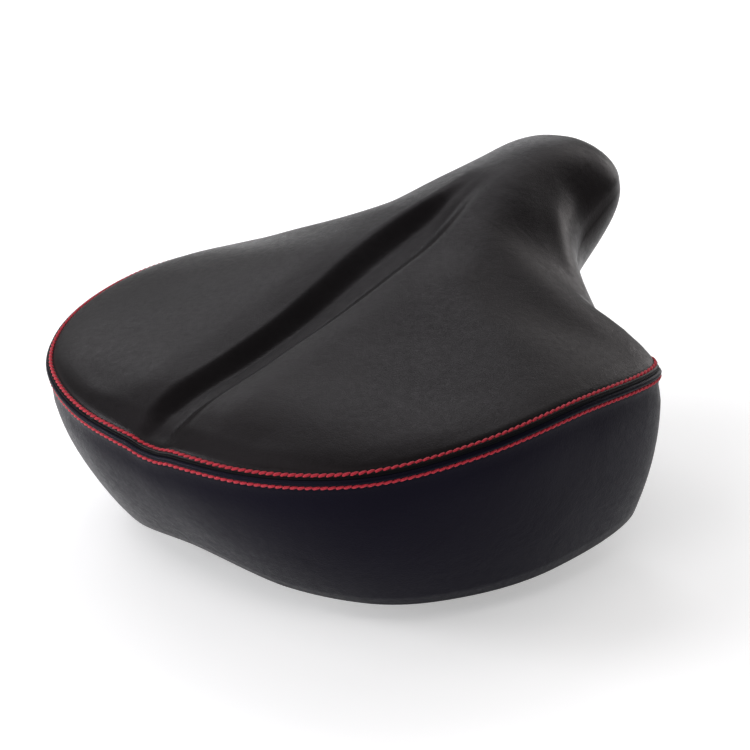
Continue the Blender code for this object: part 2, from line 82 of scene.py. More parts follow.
# Half of the outline, from the middle of the back round the right wing to the nose:
# x, y, height of the edge, height of the hem, how far the hem lies inside the edge.
HALF_OUTLINE = np.array(
    [
        (0, 0, 2, -48, 22),
        (49, 5, 3.5, -54, 25),
        (89.5, 25, 8, -56, 24),
        (112.5, 60, 14, -56, 19),
        (121, 109, 17.6, -55, 12),
        (117, 164, 14.1, -48, 7.5),
        (88.5, 174, 14, -30.5, 4),
        (56.5, 194, 22.5, -10, 3),
        (37, 217.5, 35, 6, 8.5),
        (30, 254, 50.5, 22.5, 15.5),
        (0, 278, 44.5, 28, 21),
    ],
    float,
)
SPANS = len(HALF_OUTLINE) - 1
# Along the saddle's length: height of the crest, how full the sides are, depth of the middle
# groove and half its width, each against the distance from the back.
CREST = np.array(
    [(0, 9), (24, 18), (46, 23), (68, 28), (93, 34.5), (119, 43.7), (150, 57), (166, 61)]
    + [(190, 64.5), (215, 68.8), (240, 70), (264, 67.4), (290, 63)],
    float,
)
FULLNESS = np.array(
    [(0, 1.5), (60, 1.5), (110, 1.65), (150, 1.12), (180, 1.3), (215, 1.93), (264, 2.1)], float
)
SPINE = (22.0, 250.0)
GROOVE_DEPTH = np.array(
    [(0, 1.5), (10, 4.5), (24, 7.5), (46, 8.5), (68, 9), (93, 9.2), (119, 10), (150, 12)]
    + [(165, 10), (180, 4.5), (196, 0.5), (210, 0)],
    float,
)
GROOVE_HALF_WIDTH = np.array(
    [(0, 13.5), (24, 13), (46, 12.5), (68, 12.5), (93, 14), (119, 16.5), (150, 17.5)]
    + [(165, 14.5), (180, 11.5), (200, 9), (215, 8)],
    float,
)
GROOVE_WALL = (0.2, 0.96)  # where its steep wall begins and ends, in half widths
GROOVE_ROLL = (0.4, 2.1)  # the same for the gentle roll of the lips
GROOVE_ROLL_SHARE = 0.3
GROOVE_FADE = 0.6  # share of the wall's height over which the groove runs out
NOSE = (165, 205)  # from here to there the top turns from a wing's section to the nose's
WALL_BULGE = 3.0
HEM_TUCK = 6.0
SEAM_END = 6.25  # where the seam turns down to the hem, counted in outline spans

# The grid that softens the top: its cells, how far it blurs, its corner and its size.
BLUR_CELL = 2.0
BLUR_REACH = 7.0
BLUR_OFFSETS = np.arange(-12, 13) * BLUR_CELL
BLUR_FROM = (-140.0, -20.0)
BLUR_SIZE = (141, 161)
BLUR_SAMPLES = (240, 1600)
BLUR_EDGE = (4, 24)  # the softening begins at these distances from the edge
BLUR_NOSE = (205, 240)  # and ends between these distances from the back

EDGE_SAMPLES = 8001
COLUMN_STEP, FINE_STEP, FINE_WIDTH = 2.4, 0.7, 7
SEAM_STEPS = np.array([0, 0.35, 0.8, 1.3, 1.9, 2.4, 3.1, 3.9, 4.7, 5.8, 7.5, 10])
HEM_ROWS = np.array([2.1, 2.3, 2.6, 3.0])
GROOVE_ROWS, MIDDLE_ROWS, WALL_ROWS = 18, 15, 12
LIP_ROW = 1.3  # where the groove's own rows of points end, in half widths
COVER = 1.4
FAN_CENTRE = (1, 4)  # the points this near to the spine take their normals from straight up

UPPER_ROW, LOWER_ROW = 2.4, 3.5  # from the seam to each row of stitches
# The sewn edge's creases and swellings: height, distance from the seam, width.
CREASE = (-1.5, 0, 0.5)
PANEL_BUMPS = (0.35, 1.3, 0.6), (-0.5, UPPER_ROW, 0.5), (0.25, 5.0, 1.8)
BAND_BUMPS = (0.8, 2.0, 1.0), (-0.45, LOWER_ROW, 0.5), (-0.8, 7.5, 3.2)
ROLL_HEIGHT, ROLL_REACH, ROLL_END = 1.4, 14.0, 60.0  # the panel rolls over to the seam
AWAY = (2, 14)  # the padding is free of the seam between these distances from it
DRIFT_SIZE, DRIFT_HEIGHT = 26.0, 0.28  # soft unevenness of the padding

STITCH_PITCH = 2.9
STITCH_RADIUS, STITCH_FLATNESS, STITCH_END = 0.62, 0.85, 0.02
STITCH_SLANT = 16.0  # degrees
STITCH_REACH = 0.66  # half the length of a stitch, in pitches
STITCH_BEND = 0.3
STITCH_RINGS, STITCH_SIDES = 7, 8
UPPER_RISE, LOWER_RISE = 0.45, 0.0  # how far the stitches stand out of the plain form
FOLD_RADIUS, FOLD_SINK = 0.6, 0.7

CLOTH_COLUMNS = 170
CLOTH_ROWS = np.concatenate([np.linspace(0, 1, 26), np.linspace(1, 2, 12)[1:]])
CLOTH_FRAMES = 20
CLOTH_PRESSURE = 4.0
CLOTH_GROWTH = 0.001  # the slack in the leather
CLOTH_MASS, CLOTH_STRETCH, CLOTH_SHEAR, CLOTH_BEND = 0.3, 60, 30, 8.0
CLOTH_CAP = 1.0
CLOTH_BLUR = 6
SEWN_WIDTH = 3.0  # the cloth is pinned this near to the seam

FOAM_GAP, FOAM_LAYER = 2.0, 8.0
FOAM_END = 1.9  # how far down the form the foam goes
FOAM_CORE, FOAM_SHRINK = np.array([0.0, 130.0, 0.0]), 0.75

SPRING_NECK, SPRING_HOLE = 0.84, 0.25  # shares of the spring's radius
SPRING_END = 0.07  # share of its height that stays narrow in each cup
SPRING_ROUNDNESS = 0.6
SPRING_RIBS, SPRING_RIB_DEPTH = 16, 0.25
SPRING_SIDES, SPRING_RINGS = 56, 65

CAMERA_AZIMUTH, CAMERA_RISE, CAMERA_ROLL = 43.2, 21.5, -1.0
CAMERA_DISTANCE = 0.8588
CAMERA_TARGET = (0, 125, 0)
CAMERA_LENS, CAMERA_SENSOR = 98.7, 36
CAMERA_SHIFT = (0.0028, -0.0213)
FLOOR = 6.0
FLOOR_GAP = 0.0005
FLOOR_GLOW = 0.33
WORLD_LIGHT = 0.3
LIT_POINT = (0, 0, 0.06)
SOFTBOX_DISTANCE, SOFTBOX_SIZE = 1.6, 0.7
COOL, WARM = (0.97, 0.97, 1.0), (1.0, 0.96, 0.95)
# Degrees round from the camera's side, degrees up, power, colour.
SOFTBOXES = (
    ("key_left", 270, 16, 11.5, COOL),
    ("low_front_left", 315, 16, 5.0, COOL),
    ("low_back", 180, 16, 1.5, COOL),
    ("low_back_right", 135, 16, 4.5, WARM),
    ("back_right", 150, 34, 2.0, WARM),
    ("back_left", 210, 34, 2.3, COOL),
    ("high_front", 0, 52, 1.5, WARM),
    ("high_front_left", 315, 52, 1.8, WARM),
    ("high_left", 270, 52, 2.4, COOL),
    ("high_back_left", 225, 52, 1.2, COOL),
    ("high_back", 180, 52, 3.4, COOL),
)


def place(points):
    """Saddle millimetres as metres in the model's frame."""
    return (np.asarray(points, float) - SOCKET) * MM


def smooth_object(data):
    """A smoothly shaded object made of the mesh, linked to the scene."""
    for polygon in data.polygons:
        polygon.use_smooth = True
    return linked(data)


def linked(data):
    """An object with the data and its name, linked to the scene."""
    made = bpy.data.objects.new(data.name, data)
    bpy.context.scene.collection.objects.link(made)
    return made


def unit(vectors):
    """The vectors at length one."""
    return vectors / np.linalg.norm(vectors, axis=-1, keepdims=True)


# ---------------------------------------------------------------- the saddle's form


def outline(turn):
    """Rows of HALF_OUTLINE, smoothly between its points, for turns round the saddle."""
    turn = np.mod(turn, 2 * SPANS)
    side = np.where(turn > SPANS, -1.0, 1.0)
    turn = np.where(turn > SPANS, 2 * SPANS - turn, turn)
    before, after = HALF_OUTLINE[1].copy(), HALF_OUTLINE[-2].copy()
    before[0] *= -1
    after[0] *= -1
    rows = np.vstack([before, HALF_OUTLINE, after])
    span = np.minimum(turn.astype(int), SPANS - 1)
    t = (turn - span)[..., None]
    a, b, c, d = (rows[span + k] for k in range(4))
    smooth = 2 * b + (c - a) * t + (2 * a - 5 * b + 4 * c - d) * t**2
    smooth = (smooth + (3 * b - a - 3 * c + d) * t**3) / 2
    smooth[..., 0] *= side
    return smooth


def outward(turn):
    """The outline's outward direction in plan."""
    step = (outline(turn + 0.02) - outline(turn - 0.02))[..., :2]
    return unit(np.stack([step[..., 1], -step[..., 0]], -1))


def eased(knots, y):
    """A smooth curve through (position, value) rows."""
    places, values = knots.T
    slopes = np.gradient(values, places)
    span = np.clip(np.searchsorted(places, y, side="right") - 1, 0, len(places) - 2)
    length = places[span + 1] - places[span]
    t = np.clip((y - places[span]) / length, 0, 1)
    return (
        values[span] * (1 + 2 * t) * (1 - t) ** 2
        + values[span + 1] * t * t * (3 - 2 * t)
        + length * slopes[span] * t * (1 - t) ** 2
        - length * slopes[span + 1] * t * t * (1 - t)
    )


def smooth_step(low, high, value):
    """0 up to low and 1 from high on, with a smooth rise between."""
    t = np.clip((value - low) / (high - low), 0, 1)
    return t * t * (3 - 2 * t)


def groove(x, y):
    """How far the long middle groove lies below the crest, with a crisp lip."""
    across = np.abs(x) / eased(GROOVE_HALF_WIDTH, y)
    wall = (1 - GROOVE_ROLL_SHARE) * smooth_step(*GROOVE_WALL, across)
    wall = wall + GROOVE_ROLL_SHARE * smooth_step(*GROOVE_ROLL, across)
    return np.maximum(eased(GROOVE_DEPTH, y), 0) * (1 - wall)


def plain_form(turn, down):
    """Points of the cover's outer surface before it is softened and grooved.

    down runs from the spine (0) over the edge (1) to the hem (2) and under it (3).
    """
    turn, down = np.broadcast_arrays(np.asarray(turn, float), np.asarray(down, float))
    x, y, edge, hem, hem_inset = np.moveaxis(outline(turn), -1, 0)
    normal = outward(turn)
    spoke = np.clip(down, 0, 1)
    spine_y = np.clip(y, *SPINE)
    top_x = x * spoke
    top_y = spine_y + (y - spine_y) * spoke
    nose = smooth_step(*NOSE, y)
    fall = 1 - spoke ** eased(FULLNESS, y)
    height = edge + (eased(CREST, top_y) - edge) * fall ** (1 / (1 + nose))
    wall = np.clip(down - 1, 0, 1)
    tuck = np.clip(down - 2, 0, 1) * HEM_TUCK
    inset = hem_inset * wall**1.3 - WALL_BULGE * 4 * wall * (1 - wall) + tuck
    height = height + (hem - edge) * wall
    return np.stack(
        [top_x - normal[..., 0] * inset, top_y - normal[..., 1] * inset, height], -1
    )


def blurred_top():
    """Heights of the top on a square grid, blurred so that the spokes don't show."""
    down, round_ = BLUR_SAMPLES
    points = plain_form(
        np.linspace(0, 2 * SPANS, round_)[None, :], np.linspace(0, 1, down)[:, None]
    )
    columns = np.round((points[..., 0] - BLUR_FROM[0]) / BLUR_CELL).astype(int)
    rows = np.round((points[..., 1] - BLUR_FROM[1]) / BLUR_CELL).astype(int)
    total, count = np.zeros(BLUR_SIZE), np.zeros(BLUR_SIZE)
    np.add.at(total, (columns, rows), points[..., 2])
    np.add.at(count, (columns, rows), 1)
    filled = np.minimum(count, 1)
    heights = total / np.maximum(count, 1)
    kernel = np.exp(-((BLUR_OFFSETS / BLUR_REACH) ** 2) / 2)
    for axis in (0, 1):
        heights = np.apply_along_axis(np.convolve, axis, heights, kernel, "same")
        filled = np.apply_along_axis(np.convolve, axis, filled, kernel, "same")
    return heights / np.maximum(filled, 1e-6)


SOFT_TOP = blurred_top()


def form(turn, down):
    """Points of the cover's outer surface, softened and with the middle groove."""
    turn, down = np.broadcast_arrays(np.asarray(turn, float), np.asarray(down, float))
    points = plain_form(turn, down)
    from_edge = np.linalg.norm((points - plain_form(turn, 1.0))[..., :2], axis=-1)
    x, y = points[..., 0], points[..., 1]
    soft = smooth_step(*BLUR_EDGE, from_edge) * (1 - smooth_step(*BLUR_NOSE, y)) * (down < 1)
    place_x = (x - BLUR_FROM[0]) / BLUR_CELL
    place_y = (y - BLUR_FROM[1]) / BLUR_CELL
    i, j = place_x.astype(int), place_y.astype(int)
    u, v = place_x - i, place_y - j
    blurred = (1 - u) * ((1 - v) * SOFT_TOP[i, j] + v * SOFT_TOP[i, j + 1])
    blurred = blurred + u * ((1 - v) * SOFT_TOP[i + 1, j] + v * SOFT_TOP[i + 1, j + 1])
    points[..., 2] += (blurred - points[..., 2]) * soft
    fade = smooth_step(0, GROOVE_FADE, np.clip(down - 1, 0, 1))
    points[..., 2] -= groove(x, y) * (1 - fade)
    return points


# ----------------------------------------------------------------------- the cover


def travelled(path):
    """The distance along a path of points, at each of them."""
    steps = np.linalg.norm(np.diff(path, axis=0), axis=1)
    return np.concatenate([[0], np.cumsum(steps)])


def edge_table():
    """Dense turns round the edge, and the distance along it at each."""
    dense = np.linspace(0, 2 * SPANS, EDGE_SAMPLES)
    return dense, travelled(form(dense, 1.0))


def column_turns():
    """Turns of the cover's columns: even steps round the edge, fine by the seam's ends."""
    dense, along = edge_table()
    right, left = np.interp((SEAM_END, 2 * SPANS - SEAM_END), dense, along)
    stops = [0.0, right - FINE_WIDTH, right, right + FINE_WIDTH, along[-1] / 2]
    stops += [left - FINE_WIDTH, left, left + FINE_WIDTH, along[-1]]
    beside_ends = (1, 2, 5, 6)
    places = []
    for index, (low, high) in enumerate(zip(stops, stops[1:])):
        step = FINE_STEP if index in beside_ends else COLUMN_STEP
        count = max(2, round((high - low) / step))
        places.append(np.linspace(low, high, count, endpoint=False))
    return np.interp(np.concatenate(places), along, dense)


def cover_rows(turns):
    """How far down the form each row of each column lies, and which row is the edge.

    The inner rows keep to the groove, the rows beside the edge lie at SEAM_STEPS from it.
    """
    x, y, edge, hem, _ = np.moveaxis(outline(turns), -1, 0)
    spine = form(turns, 0.0)
    spoke = np.linalg.norm(form(turns, 1.0)[:, :2] - spine[:, :2], axis=1)
    lip = LIP_ROW * eased(GROOVE_HALF_WIDTH, np.clip(y, *SPINE))
    inside = np.minimum(lip / np.maximum(np.abs(x), 1), 0.5)
    near = 1 - SEAM_STEPS[::-1, None] / spoke
    groove_rows = np.linspace(0, 1, GROOVE_ROWS + 1)[:-1, None] * inside
    share = np.linspace(0, 1, MIDDLE_ROWS + 1)[:-1, None]
    middle_rows = inside + (near[0] - inside) * share
    wall_height = np.hypot(edge - hem, 6)
    wall_near = 1 + SEAM_STEPS[1:, None] / wall_height
    share = np.linspace(0, 1, WALL_ROWS + 1)[1:, None]
    wall_rows = wall_near[-1] + (2 - wall_near[-1]) * share
    hem_rows = HEM_ROWS[:, None] + 0 * turns
    rows = np.concatenate([groove_rows, middle_rows, near, wall_near, wall_rows, hem_rows])
    return rows, len(groove_rows) + len(middle_rows) + len(near) - 1


def seam_line(turn_step=0.01):
    """The seam: round the edge between its ends, and down to the hem at each end."""
    turns = np.arange(-SEAM_END, SEAM_END + turn_step / 2, turn_step)
    down = np.arange(1.02, 2.0, 0.01)
    left = form(-SEAM_END, down[::-1])
    right = form(SEAM_END, down)
    return np.concatenate([left, form(turns, 1.0), right])


def grid_normals(grid):
    """Outward unit normals of a closed-round grid of points."""
    round_ = np.roll(grid, -1, axis=1) - np.roll(grid, 1, axis=1)
    down = np.gradient(grid, axis=0)
    normal = np.cross(down, round_)
    length = np.linalg.norm(normal, axis=-1, keepdims=True)
    return np.where(length > 1e-9, normal / np.maximum(length, 1e-9), (0, 0, 1))


def seam_profile(distance, on_band):
    """Height of the sewn edge over the plain form, by distance from the seam."""

    def bump(height, middle, width):
        return height * np.exp(-(((distance - middle) / width) ** 2))

    panel = sum(bump(*shape) for shape in PANEL_BUMPS)
    band = sum(bump(*shape) for shape in BAND_BUMPS)
    roll = 1 - (1 - np.clip(distance / ROLL_REACH, 0, 1)) ** 2
    panel = panel + ROLL_HEIGHT * roll * smooth_step(ROLL_END, ROLL_REACH, distance)
    return bump(*CREASE) + np.where(on_band, band, panel)


def nearest_distance(points, line):
    """Distance of each point from a dense line of points."""
    tree = KDTree(len(line))
    for index, spot in enumerate(line):
        tree.insert(spot, index)
    tree.balance()
    return np.array([tree.find(point)[2] for point in points])


def grid_mesh(name, grid, cells):
    """A mesh of the grid's cells where the mask is set, its collapsed edges merged."""
    rows, columns = grid.shape[:2]
    index = np.arange(rows * columns).reshape(rows, columns)
    right = np.roll(index, -1, axis=1)
    quads = np.stack([index[:-1], index[1:], right[1:], right[:-1]], -1)[cells]
    used, corner = np.unique(quads, return_inverse=True)
    corner = corner.reshape(-1, 4)
    data = bpy.data.meshes.new(name)
    data.from_pydata(place(grid.reshape(-1, 3)[used]).tolist(), [], corner.tolist())
    mesh = bmesh.new()
    mesh.from_mesh(data)
    bmesh.ops.remove_doubles(mesh, verts=mesh.verts, dist=1e-6)
    mesh.to_mesh(data)
    mesh.free()
    return smooth_object(data)


def even_turns(count):
    """Turns at even steps round the edge."""
    dense, along = edge_table()
    return np.interp(np.arange(count) / count * along[-1], along, dense)


def cloth_result(points, quads, pinned):
    """The points after the leather is blown up against its seam, groove and hem."""
    data = bpy.data.meshes.new("cloth")
    data.from_pydata(place(points).tolist(), [], quads)
    sheet = linked(data)
    scene = bpy.context.scene
    group = sheet.vertex_groups.new(name="pinned")
    group.add(np.flatnonzero(pinned).tolist(), 1.0, "REPLACE")
    cloth = sheet.modifiers.new("cloth", "CLOTH")
    cloth.settings.quality = 6
    cloth.settings.mass = CLOTH_MASS
    cloth.settings.tension_stiffness = cloth.settings.compression_stiffness = CLOTH_STRETCH
    cloth.settings.shear_stiffness = CLOTH_SHEAR
    cloth.settings.bending_stiffness = CLOTH_BEND
    cloth.settings.use_pressure = True
    cloth.settings.uniform_pressure_force = CLOTH_PRESSURE
    cloth.settings.shrink_min = -CLOTH_GROWTH
    cloth.settings.vertex_group_mass = group.name
    cloth.settings.effector_weights.gravity = 0
    cloth.point_cache.frame_start = 1
    cloth.point_cache.frame_end = CLOTH_FRAMES
    for step in range(1, CLOTH_FRAMES + 1):
        scene.frame_set(step)
    shaped = sheet.evaluated_get(bpy.context.evaluated_depsgraph_get()).to_mesh()
    moved = np.array([vertex.co for vertex in shaped.vertices])
    bpy.data.objects.remove(sheet)
    scene.frame_set(1)
    return moved / MM + SOCKET


def swelling(turns, rows):
    """How the cloth moves each point of the fine grid, from a coarser simulated one."""
    grid = form(even_turns(CLOTH_COLUMNS)[None, :], CLOTH_ROWS[:, None])
    points, corner = np.unique(np.round(grid.reshape(-1, 3), 2), axis=0, return_inverse=True)
    corner = corner.reshape(grid.shape[:2])
    right = np.roll(corner, -1, axis=1)
    quads = []
    for quad in np.stack([corner[:-1], corner[1:], right[1:], right[:-1]], -1).reshape(-1, 4):
        loop = list(dict.fromkeys(quad.tolist()))
        if len(loop) > 2:
            quads.append(loop)
    in_groove = np.abs(points[:, 0]) < GROOVE_ROLL[1] * eased(GROOVE_HALF_WIDTH, points[:, 1])
    in_groove &= (eased(GROOVE_DEPTH, points[:, 1]) > 0.5) & (points[:, 2] > 0)
    hem = np.zeros(len(points), bool)
    hem[corner[-2:].ravel()] = True
    sewn = nearest_distance(points, seam_line()) < SEWN_WIDTH
    moved = cloth_result(points, quads, in_groove | hem | sewn) - points
    length = np.linalg.norm(moved, axis=1, keepdims=True)
    moved *= np.tanh(length / CLOTH_CAP) * CLOTH_CAP / np.maximum(length, 1e-9)
    moved = moved[corner]
    for _ in range(CLOTH_BLUR):
        beside = np.roll(moved, 1, axis=1) + np.roll(moved, -1, axis=1)
        padded = np.concatenate([moved[:1], moved, moved[-1:]])
        moved = (2 * moved + beside + padded[:-2] + padded[2:]) / 6
    dense, along = edge_table()
    column = np.interp(turns, dense, along / along[-1]) * CLOTH_COLUMNS
    row = np.interp(rows, CLOTH_ROWS, np.arange(len(CLOTH_ROWS)))
    i = np.minimum(row.astype(int), len(CLOTH_ROWS) - 2)
    j = np.broadcast_to(column.astype(int), rows.shape) % CLOTH_COLUMNS
    u = (row - i)[..., None]
    v = np.broadcast_to(column % 1, rows.shape)[..., None]
    after = (j + 1) % CLOTH_COLUMNS
    near = moved[i, j] * (1 - v) + moved[i, after] * v
    return near * (1 - u) + (moved[i + 1, j] * (1 - v) + moved[i + 1, after] * v) * u


def cover_pieces():
    """The top panel and the side band, one form cut along the seam."""
    turns = column_turns()
    rows, edge_row = cover_rows(turns)
    grid = form(turns[None, :] + 0 * rows, rows)
    distance = nearest_distance(grid.reshape(-1, 3), seam_line()).reshape(rows.shape)
    sewn = (turns < SEAM_END) | (turns > 2 * SPANS - SEAM_END)
    on_band = (rows > 1) & sewn[None, :]
    away = smooth_step(*AWAY, distance)
    drift = np.array([noise.noise(Vector(point) / DRIFT_SIZE) for point in grid.reshape(-1, 3)])
    lift = seam_profile(distance, on_band) + drift.reshape(rows.shape) * DRIFT_HEIGHT * away
    lift = lift * smooth_step(2.0, 1.9, rows)
    normals = grid_normals(grid)
    spine = form(turns, 0.0)
    from_spine = np.linalg.norm((grid - spine[None])[..., :2], axis=-1)
    sure = smooth_step(*FAN_CENTRE, from_spine)[..., None]
    normals = normals * sure + np.array([0, 0, 1]) * (1 - sure)
    grid = grid + swelling(turns, rows) * away[..., None] + normals * lift[..., None]
    grid[0, :, 0] = 0
    grid[0] = (grid[0] + np.roll(grid[0][::-1], 1, axis=0)) / 2
    fan_y = outline(turns)[:, 1]
    for fan in (fan_y <= SPINE[0], fan_y >= SPINE[1]):
        grid[0, fan] = grid[0, fan].mean(axis=0)
    between = (turns + np.roll(turns, -1)) / 2
    between[-1] = (turns[-1] + 2 * SPANS) / 2
    in_band = (between < SEAM_END) | (between > 2 * SPANS - SEAM_END)
    band = np.zeros((len(rows) - 1, len(turns)), bool)
    band[edge_row:, in_band] = True
    panel = grid_mesh("top_panel", grid, ~band)
    side = grid_mesh("side_band", grid, band)
    for piece in (panel, side):
        thick = piece.modifiers.new("leather thickness", "SOLIDIFY")
        thick.thickness = COVER * MM
        thick.offset = -1
        thick.use_even_offset = False
    return panel, side


def foam_pad():
    """The foam under the cover: a closed layer between the leather and the base."""
    turns = even_turns(CLOTH_COLUMNS)
    rows = np.append(CLOTH_ROWS[CLOTH_ROWS < FOAM_END], FOAM_END)[:, None] + 0 * turns
    surface = form(turns[None, :], rows)
    normals = grid_normals(surface)
    middle = FOAM_CORE + (surface - FOAM_CORE) * FOAM_SHRINK
    middle[..., 2] = outline(turns)[:, 2:4].mean(axis=1)
    inwards = unit(middle - surface)
    outside = surface - normals * (COVER + FOAM_GAP)
    closed = np.concatenate([outside, (outside + inwards * FOAM_LAYER)[::-1]])
    return grid_mesh("foam_pad", closed, np.ones((len(closed) - 1, len(turns)), bool))


# ------------------------------------------------------------------- the stitching


def seam_side_path(side):
    """Points and normals along one row of stitches: side 1 on the panel, -1 on the band."""
    turns = np.linspace(-SEAM_END, SEAM_END, 2400)
    edge = form(turns, 1.0)
    probe = form(turns, 0.965 if side > 0 else 1.06)
    beyond = form(turns, 0.93 if side > 0 else 1.12)
    along = np.gradient(edge, axis=0)
    normal = unit(np.cross(beyond - edge, along) * (-1 if side > 0 else 1))
    return edge + unit(probe - edge) * (UPPER_ROW if side > 0 else LOWER_ROW), normal


def tube_faces(start, spans, sides):
    """Faces between the neighbouring rings of a tube whose points begin at start."""
    faces = []
    for ring in range(spans):
        for corner in range(sides):
            a = start + ring * sides + corner
            b = start + ring * sides + (corner + 1) % sides
            faces.append((a, b, b + sides, a + sides))
    return faces


def stitches(name, side):
    """A row of slanted raised stitches, each one a bent bead of thread."""
    path, normals = seam_side_path(side)
    along = travelled(path)
    count = int(along[-1] // STITCH_PITCH)
    centres = (np.arange(count) + 0.5) * along[-1] / count

    def at(places, values):
        return np.stack([np.interp(places, along, values[:, k]) for k in range(3)], -1)

    spots, ups = at(centres, path), at(centres, normals)
    rise = UPPER_RISE if side > 0 else LOWER_RISE
    slant = math.radians(STITCH_SLANT)
    verts, faces = [], []
    for spot, forward, normal in zip(spots, at(centres + 0.5, path) - spots, ups):
        forward = forward / np.linalg.norm(forward)
        run = forward * math.cos(slant) + np.cross(normal, forward) * math.sin(slant)
        cross = np.cross(normal, run)
        start = len(verts)
        for ring in range(STITCH_RINGS):
            t = ring / (STITCH_RINGS - 1) * 2 - 1
            thick = STITCH_RADIUS * (1 - abs(t) ** 3.5) ** 0.5 + STITCH_END
            centre = spot + run * t * STITCH_PITCH * STITCH_REACH
            centre = centre + normal * (rise - STITCH_BEND * t * t)
            for corner in range(STITCH_SIDES):
                angle = 2 * math.pi * corner / STITCH_SIDES
                sideways = cross * thick * math.cos(angle)
                upwards = normal * thick * STITCH_FLATNESS * math.sin(angle)
                verts.append(centre + sideways + upwards)
        faces += tube_faces(start, STITCH_RINGS - 1, STITCH_SIDES)
        last = start + (STITCH_RINGS - 1) * STITCH_SIDES
        faces.append(tuple(start + corner for corner in range(STITCH_SIDES))[::-1])
        faces.append(tuple(last + corner for corner in range(STITCH_SIDES)))
    data = bpy.data.meshes.new(name)
    data.from_pydata(place(np.array(verts)).tolist(), [], faces)
    return smooth_object(data)


def seam_fold():
    """The folded edge that shows deep in the seam between the two rows."""
    line = seam_line(0.04)
    inwards = line - np.array([0, line[:, 1].mean(), 0])
    inwards[:, 2] = 60
    line = line - unit(inwards) * FOLD_SINK
    curve = bpy.data.curves.new("seam_fold", "CURVE")
    curve.dimensions = "3D"
    curve.bevel_depth = FOLD_RADIUS * MM
    curve.bevel_resolution = 2
    curve.use_fill_caps = True
    spline = curve.splines.new("POLY")
    spline.points.add(len(line) - 1)
    for point, spot in zip(spline.points, place(line)):
        point.co = (*spot, 1)
    return linked(curve)


# --------------------------------------------------------------------- the springs


def rubber_spring(name, low, high):
    """A bored rubber spring of two bulges with fine moulded ribs, filling a box."""
    low, high = np.array(low), np.array(high)
    centre = (low + high) / 2
    radius, height = (high[0] - low[0]) / 2, high[2] - low[2]
    share = np.linspace(0, 1, SPRING_RINGS)
    along = np.clip((share - SPRING_END) / (1 - 2 * SPRING_END), 0, 1)
    bulge = np.abs(np.sin(2 * np.pi * along)) ** SPRING_ROUNDNESS
    ribs = 0.5 + 0.5 * np.cos(2 * np.pi * share * SPRING_RIBS)
    outside = radius * (SPRING_NECK + (1 - SPRING_NECK) * bulge) - SPRING_RIB_DEPTH * MM * ribs
    profile = [(radius * SPRING_HOLE, 0.0), *zip(outside, share), (radius * SPRING_HOLE, 1.0)]
    verts = []
    for reach, rise in profile:
        for corner in range(SPRING_SIDES):
            angle = 2 * math.pi * corner / SPRING_SIDES
            x, y = math.cos(angle) * reach, math.sin(angle) * reach
            verts.append((centre[0] + x, centre[1] + y, low[2] + rise * height))
    faces = [
        tuple(corner % len(verts) for corner in face)
        for face in tube_faces(0, len(profile), SPRING_SIDES)
    ]
    data = bpy.data.meshes.new(name)
    data.from_pydata(verts, [], faces)
    return smooth_object(data), (centre[0], centre[1], low[2])


# ---------------------------------------------------------------------- materials


class Nodes:
    """Adds shader nodes to one new material and links them."""

    def __init__(self, name):
        self.material = bpy.data.materials.new(name)
        self.material.use_nodes = True
        self.tree = self.material.node_tree
        self.shader = self.tree.nodes["Principled BSDF"]

    def add(self, kind, inputs=None, **settings):
        """A node whose inputs take other nodes' sockets or constants."""
        node = self.tree.nodes.new(kind)
        for key, value in settings.items():
            setattr(node, key, value)
        for key, value in (inputs or {}).items():
            if isinstance(value, bpy.types.NodeSocket):
                self.tree.links.new(value, node.inputs[key])
            else:
                node.inputs[key].default_value = value
        return node

    def set(self, **values):
        """Sets the shader's inputs, with _ for each space in a name."""
        for key, value in values.items():
            socket = self.shader.inputs[key.replace("_", " ")]
            if isinstance(value, bpy.types.NodeSocket):
                self.tree.links.new(value, socket)
            else:
                socket.default_value = value

    def ramp(self, factor, low, high, low_at=0.0, high_at=1.0):
        """A colour that runs from low to high with the factor."""
        node = self.add("ShaderNodeValToRGB", {"Fac": factor})
        first, last = node.color_ramp.elements
        first.position, last.position = low_at, high_at
        first.color, last.color = (*low, 1), (*high, 1)
        return node.outputs["Color"]

    def spread(self, factor, low, high):
        """A value that runs from low to high over the middle of a noise."""
        inputs = {"Value": factor, "From Min": 0.3, "From Max": 0.7, "To Min": low, "To Max": high}
        return self.add("ShaderNodeMapRange", inputs).outputs["Result"]

    def bumps(self, *layers):
        """Stacked bumps from (height, strength, distance in metres) layers."""
        normal = None
        for height, strength, distance in layers:
            inputs = {"Height": height, "Strength": strength, "Distance": distance}
            if normal is not None:
                inputs["Normal"] = normal
            normal = self.add("ShaderNodeBump", inputs).outputs["Normal"]
        self.tree.links.new(normal, self.shader.inputs["Normal"])


